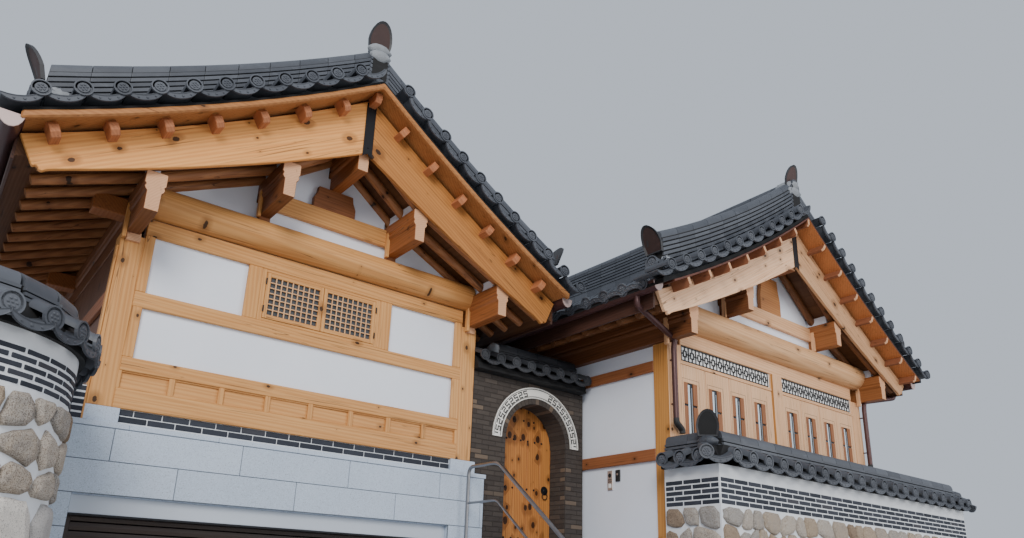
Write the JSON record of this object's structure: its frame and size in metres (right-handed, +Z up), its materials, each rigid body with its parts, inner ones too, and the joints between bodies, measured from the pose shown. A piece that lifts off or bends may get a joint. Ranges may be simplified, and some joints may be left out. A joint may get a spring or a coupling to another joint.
{
  "type": "traditional timber house",
  "caption": "Traditional timber house with two gabled wings under grey tiled roofs, an arched brick gate between them, a stone garage podium and low tiled street walls.",
  "frame": {"origin": "on the ground below the middle of the gate, in the plane of the gate wall's front face", "axes": "+X to the right along the street front, +Y away from the street, +Z up"},
  "size_m": [14.65, 9.111, 7.46],
  "materials": {
    "timber": "satin",
    "shaded_timber": "matte",
    "door_wood": "satin",
    "plaster": "matte",
    "granite": "matte",
    "brick": "matte",
    "rubble": "matte",
    "band": "matte",
    "tile": "matte",
    "iron": "matte",
    "steel": "satin",
    "shutter": "satin"
  },
  "bodies": {
    "house": {"podium": "granite", "podium_coping": "granite", "garage_shutter": "shutter", "left_floor": "brick", "left_front_frame": "timber", "left_front_wall": "plaster", "left_front_window": "timber", "left_rear_frame": "timber", "left_rear_wall": "plaster", "left_rear_window": "timber", "left_west_wall": "plaster", "left_west_frame": "timber", "left_east_wall": "plaster", "left_east_frame": "timber", "left_roof_frame": "timber", "left_roof_boards": "shaded_timber", "left_roof_tiles": "tile", "left_ridges": "tile", "left_front_bargeboards": "timber", "left_rear_bargeboards": "timber", "right_plinth": "granite", "right_floor": "timber", "right_front_frame": "timber", "right_front_wall": "plaster", "right_front_casements_1": "timber", "right_front_casements_2": "timber", "right_rear_frame": "timber", "right_rear_wall": "plaster", "right_rear_casements_1": "timber", "right_rear_casements_2": "timber", "right_west_wall": "plaster", "right_west_frame": "timber", "right_east_wall": "plaster", "right_east_frame": "timber", "right_roof_frame": "timber", "right_roof_boards": "shaded_timber", "right_roof_tiles": "tile", "right_ridges": "tile", "right_front_bargeboards": "timber", "right_rear_bargeboards": "timber", "gate_wall_left": "brick", "gate_wall_right": "brick", "gate_wall_head": "brick", "gate_arch_band": "band", "gate_roof": "tile", "gate_steps": "granite", "gate_passage_floor": "granite", "gate_door_frame": "timber", "handrail": "steel", "garden_wall": "rubble", "garden_wall_coping": "tile", "street_wall": "rubble", "street_wall_coping": "tile"},
    "gate_leaf": {"gate_door": "door_wood", "gate_door_pull": "iron"}
  },
  "joints": [
    {"name": "gate_hinge", "type": "hinge", "parent": "house", "child": "gate_leaf", "pos_m": [-0.525, 0.335, 1.96], "axis": [0, 0, 1], "range_deg": [0, 95]}
  ]
}
